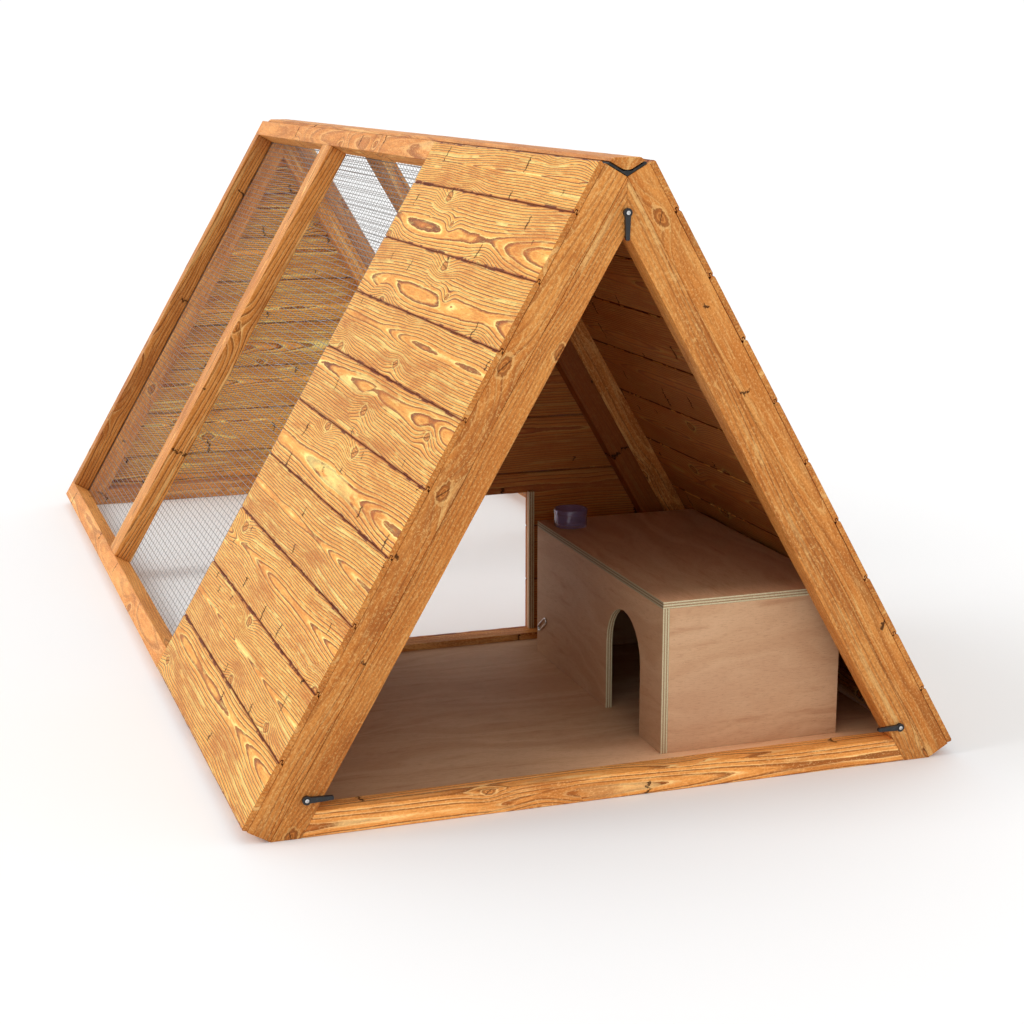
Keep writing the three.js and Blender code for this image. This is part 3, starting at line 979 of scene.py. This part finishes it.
def add_mesh(word, side):
    """The wires of one side's mesh, all in one piece."""
    node = f"{word}_run_mesh"
    rng = piece_rng(node)
    slope, out = down(side), outward(side)
    top, foot = extent(node, slope)
    front, back = extent(node, Y_AXIS)
    inner, outer = extent(node, out)
    middle = (inner + outer) / 2
    bm = bmesh.new()
    for s in spaced(top + LENGTH_WIRE, foot - LENGTH_WIRE, LENGTH_WIRE_PITCH):
        base = slope * s + out * (middle + LENGTH_WIRE * WIRE_SEAT)
        add_wire(bm, base + Y_AXIS * front, base + Y_AXIS * back, slope, out, LENGTH_WIRE, rng)
    for y in spaced(front + CROSS_WIRE, back - CROSS_WIRE, CROSS_WIRE_PITCH):
        base = Y_AXIS * y + out * (middle - CROSS_WIRE * WIRE_SEAT)
        add_wire(bm, base + slope * top, base + slope * foot, Y_AXIS, out, CROSS_WIRE, rng)
    obj = finish_mesh(node + "_wires", bm, [ZINC])
    place_piece(obj, "hutch", "galvanised_wire", node)


for word, side in SIDES.items():
    add_mesh(word, side)


# ---------------------------------------------------------------- small fittings


def lathe(bm, profile, centre, axis, side_axis, segments=48):
    """A closed turned shape. The profile is pairs of distance from the axis and distance along it."""
    third = axis.cross(side_axis)
    rings = []
    for radius, along in profile:
        if radius == 0:
            rings.append([bm.verts.new(centre + axis * along)])
            continue
        ring = []
        for j in range(segments):
            turn = math.tau * j / segments
            rim = side_axis * math.cos(turn) + third * math.sin(turn)
            ring.append(bm.verts.new(centre + axis * along + rim * radius))
        rings.append(ring)
    for a, b in zip(rings, rings[1:]):
        for j in range(segments):
            n = (j + 1) % segments
            corners = [a[j % len(a)], a[n % len(a)], b[n % len(b)], b[j % len(b)]]
            bm.faces.new(list(dict.fromkeys(corners)))
    return rings


def arc(centre, radius, start, end, steps):
    """Points of a circle's arc, angles in degrees."""
    turns = [math.radians(start + (end - start) * k / steps) for k in range(steps + 1)]
    return [(centre[0] + radius * math.cos(t), centre[1] + radius * math.sin(t)) for t in turns]


SCREW_HEAD = 0.0033
SCREW_DOME = 0.0016
SCREW_SHANK = 0.0019
SCREW_DEPTH = 0.016
SLOT_HALF = 0.00042
SLOT_REACH = 0.0019
SLOT_DEPTH = 0.0011
SCREW_LIFT = 0.0002
DOME_STEPS = 22
# The head is a flattened dome: 1 would bring its edge down to nothing.
DOME_FALL = 0.8


def place_on_axis(button, y):
    """The point of a button's axis that has a given y."""
    joint = next(j for j in frame["joints"] if j["child"] == button)
    return Vector((joint["pos_m"][0], y, joint["pos_m"][2]))


def dome_height(radius):
    """Height of the screw's head at a distance from its axis."""
    return SCREW_DOME * math.sqrt(1 - DOME_FALL * (radius / SCREW_HEAD) ** 2)


def add_screw(where):
    """A pan-head screw with a cross recess. It holds the button to the frame and doesn't turn."""
    button = f"turn_button_{where}"
    centre = place_on_axis(button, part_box(button)[0].y - SCREW_LIFT)
    radii = [SCREW_HEAD * k / DOME_STEPS for k in range(DOME_STEPS + 1)]
    dome = [(radius, dome_height(radius)) for radius in radii]
    shank = [(SCREW_HEAD, 0.0), (SCREW_SHANK, 0.0), (SCREW_SHANK, -SCREW_DEPTH), (0, -SCREW_DEPTH)]
    bm = bmesh.new()
    rings = lathe(bm, dome + shank, centre, -Y_AXIS, X_AXIS, segments=72)
    for ring in rings[: len(dome)]:
        for v in ring:
            x, z = abs(v.co.x - centre.x), abs(v.co.z - centre.z)
            if min(x, z) < SLOT_HALF and max(x, z) < SLOT_REACH:
                v.co.y += SLOT_DEPTH
    obj = finish_mesh(f"button_screw_{where}", bm, [STEEL])
    place_piece(obj, "hutch", "galvanised_wire")


BOSS_OUTER = 0.0056
BOSS_INNER = 0.0042
BOSS_HEIGHT = 0.0009
BOSS_ROOT = -0.001
BUTTON_ROLL = 0.0015


def add_button(where):
    """The moulded button: its CAD outline with rolled edges, and a raised ring round the screw."""
    button = f"turn_button_{where}"
    centre = place_on_axis(button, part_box(button)[0].y)
    bm = cad_copy(button)
    round_edges(bm, BUTTON_ROLL, segments=5)
    middle = (BOSS_OUTER + BOSS_INNER) / 2
    half = (BOSS_OUTER - BOSS_INNER) / 2
    top = arc((middle, BOSS_HEIGHT - half), half, 0, 180, 8)
    profile = [(BOSS_OUTER, BOSS_ROOT), *top, (BOSS_INNER, BOSS_ROOT), (BOSS_OUTER, BOSS_ROOT)]
    lathe(bm, profile, centre, -Y_AXIS, X_AXIS, segments=64)
    bmesh.ops.remove_doubles(bm, verts=bm.verts, dist=WELD / 10)
    obj = finish_mesh(button + "_moulding", bm, [PLASTIC])
    keep_faces_flat(obj)
    place_piece(obj, button, "black_plastic", button)


STRIP_EDGE = 0.0006
STRIP_SLICES = 0.03
STRIP_UNEVEN = 0.0005
STRIP_WAVES = 18.0
STRIP_SEED = 4.0


def add_ridge_strip():
    """The black strip under the ridge wedge."""
    bm = cad_copy("ridge_strip")
    round_edges(bm, STRIP_EDGE, segments=3)
    slice_across(bm, Y_AXIS, STRIP_SLICES)
    wander(bm, Y_AXIS, STRIP_UNEVEN, STRIP_WAVES, STRIP_SEED)
    obj = finish_mesh("ridge_strip_rubber", bm, [RUBBER])
    keep_faces_flat(obj)
    place_piece(obj, "hutch", "black_strip", "ridge_strip")


POT_WALL = 0.004
POT_BASE = 0.006
POT_BOWL_ROUND = 0.005
POT_FOOT_ROUND = 0.0035
# How far the straight sides lie inside the rim, how high up they start, and how far below the rim's
# top they end.
POT_SIDE_INSET = 0.001
POT_SIDE_START = 0.006
POT_SIDE_BELOW_RIM = 0.010
# The hollow under the pot, and how far in from the rim its slope starts and ends.
POT_HOLLOW = 0.0008
POT_HOLLOW_INSET = 0.012
POT_STANDING_INSET = 0.0095


def add_pot():
    """The glass water pot: a squat cup with a foot, straight sides and a rolled rim."""
    low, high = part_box("water_pot")
    centre = Vector(((low.x + high.x) / 2, (low.y + high.y) / 2, low.z))
    radius = (high.x - low.x) / 2
    height = high.z - low.z
    side = radius - POT_SIDE_INSET
    side_top = height - POT_SIDE_BELOW_RIM
    foot_middle = (side - POT_FOOT_ROUND, POT_FOOT_ROUND)
    bowl_middle = (radius - POT_WALL - POT_BOWL_ROUND, POT_BASE + POT_BOWL_ROUND)
    rim_middle = (radius - POT_WALL / 2, height - POT_WALL / 2)
    under = [
        (0, POT_HOLLOW),
        (radius - POT_HOLLOW_INSET, POT_HOLLOW),
        (radius - POT_STANDING_INSET, 0.0),
    ]
    foot = arc(foot_middle, POT_FOOT_ROUND, -90, 0, 8)
    sides = [(side, POT_SIDE_START), (side, side_top), (radius, side_top + POT_SIDE_INSET)]
    rim = arc(rim_middle, POT_WALL / 2, 0, 180, 10)
    bowl = arc(bowl_middle, POT_BOWL_ROUND, 0, -90, 8)
    bm = bmesh.new()
    profile = [*under, *foot, *sides, *rim, *bowl, (0, POT_BASE)]
    lathe(bm, profile, centre, Z_AXIS, X_AXIS, segments=96)
    obj = finish_mesh("water_pot_glass", bm, [GLASS])
    place_piece(obj, "hutch", "violet_glass", "water_pot")


CLASP_FROM_BACK = 0.035
CLASP_ABOVE_FOOT = 0.067
CLASP_LENGTH = 0.051
CLASP_SPACING = 0.012
CLASP_WIRE = 0.0016
CLASP_STANDOFF = CLASP_WIRE * 1.3
CLASP_TILT = math.radians(34)
CLASP_SIDES = 16


def add_clasp():
    """A bright wire loop that lies on the nest box's left side, as a lid's catch."""
    low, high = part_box("nest_left_side")
    centre = Vector((low.x - CLASP_STANDOFF, high.y - CLASP_FROM_BACK, low.z + CLASP_ABOVE_FOOT))
    along = Vector((0, -math.cos(CLASP_TILT), math.sin(CLASP_TILT)))
    across = X_AXIS.cross(along)
    half = (CLASP_LENGTH - CLASP_SPACING) / 2
    radius = CLASP_SPACING / 2
    line = arc((half, 0), radius, -90, 90, 12) + arc((-half, 0), radius, 90, 270, 12)
    points = [centre + along * a + across * b for a, b in line]
    bm = bmesh.new()
    rings = []
    for k, place in enumerate(points):
        ahead = (points[(k + 1) % len(points)] - points[k - 1]).normalized()
        side = ahead.cross(X_AXIS)
        turns = [math.tau * j / CLASP_SIDES for j in range(CLASP_SIDES)]
        ring = [place + (side * math.cos(t) + X_AXIS * math.sin(t)) * CLASP_WIRE for t in turns]
        rings.append([bm.verts.new(p) for p in ring])
    for k, a in enumerate(rings):
        b = rings[(k + 1) % len(rings)]
        for j in range(CLASP_SIDES):
            n = (j + 1) % CLASP_SIDES
            bm.faces.new((a[j], a[n], b[n], b[j]))
    obj = finish_mesh("nest_wire_clasp", bm, [STEEL])
    place_piece(obj, "hutch", "galvanised_wire")


add_ridge_strip()
add_pot()
add_clasp()
for where in ("top", "left", "right"):
    add_button(where)
    add_screw(where)


# ---------------------------------------------------------------- floor, light and camera

FLOOR_SIZE = 80.0
FLOOR_DROP = 0.0002
# The dome's light changes between these heights on a unit sphere.
DOME_LOW = 0.05
DOME_HIGH = 0.3
CAMERA_PLACE = (-1.1513, -4.1072, 1.1990)
CAMERA_DOWN = math.radians(13.05)
CAMERA_TO_THE_RIGHT = math.radians(18.87)
CAMERA_LENS = 66.7
CAMERA_SENSOR = 36.0


def add_floor():
    """The white ground that the hutch stands on."""
    bm = bmesh.new()
    half = FLOOR_SIZE / 2
    corners = [(-half, -half), (half, -half), (half, half), (-half, half)]
    bm.faces.new([bm.verts.new((x, y, cad_box[0].z - FLOOR_DROP)) for x, y in corners])
    obj = finish_mesh("studio_floor", bm, [white_floor("studio_floor_white")])


def add_world(overhead, horizon):
    """An even white studio dome, a little brighter round the horizon than overhead."""
    world = bpy.data.worlds.new("studio")
    world.use_nodes = True
    tree = world.node_tree
    back = tree.nodes["Background"]
    direction = tree.nodes.new("ShaderNodeTexCoord").outputs["Generated"]
    parts = tree.nodes.new("ShaderNodeSeparateXYZ")
    tree.links.new(direction, parts.inputs[0])
    level = tree.nodes.new("ShaderNodeMapRange")
    limits = {"From Min": DOME_LOW, "From Max": DOME_HIGH, "To Min": horizon, "To Max": overhead}
    for name, value in limits.items():
        level.inputs[name].default_value = value
    tree.links.new(parts.outputs[2], level.inputs["Value"])
    back.inputs[0].default_value = (1, 1, 1, 1)
    tree.links.new(level.outputs["Result"], back.inputs[1])
    bpy.context.scene.world = world


def add_sun(direction, strength, spread):
    """Soft light from far away. Direction points from the object to the light."""
    data = bpy.data.lights.new("key", "SUN")
    data.energy = strength
    data.angle = math.radians(spread)
    lamp = bpy.data.objects.new("key", data)
    lamp.rotation_euler = (-Vector(direction)).to_track_quat("-Z", "Y").to_euler()
    bpy.context.scene.collection.objects.link(lamp)


def add_camera():
    """The photo's point of view."""
    data = bpy.data.cameras.new("photo_view")
    data.lens = CAMERA_LENS
    data.sensor_width = CAMERA_SENSOR
    camera = bpy.data.objects.new("photo_view", data)
    camera.location = CAMERA_PLACE
    camera.rotation_euler = (math.radians(90) - CAMERA_DOWN, 0, -CAMERA_TO_THE_RIGHT)
    bpy.context.scene.collection.objects.link(camera)
    bpy.context.scene.camera = camera


add_floor()
add_world(overhead=0.95, horizon=1.02)
add_sun(direction=(-0.8, 0.1, 0.6), strength=1.15, spread=28)
add_camera()
bpy.context.scene.view_settings.view_transform = "Standard"
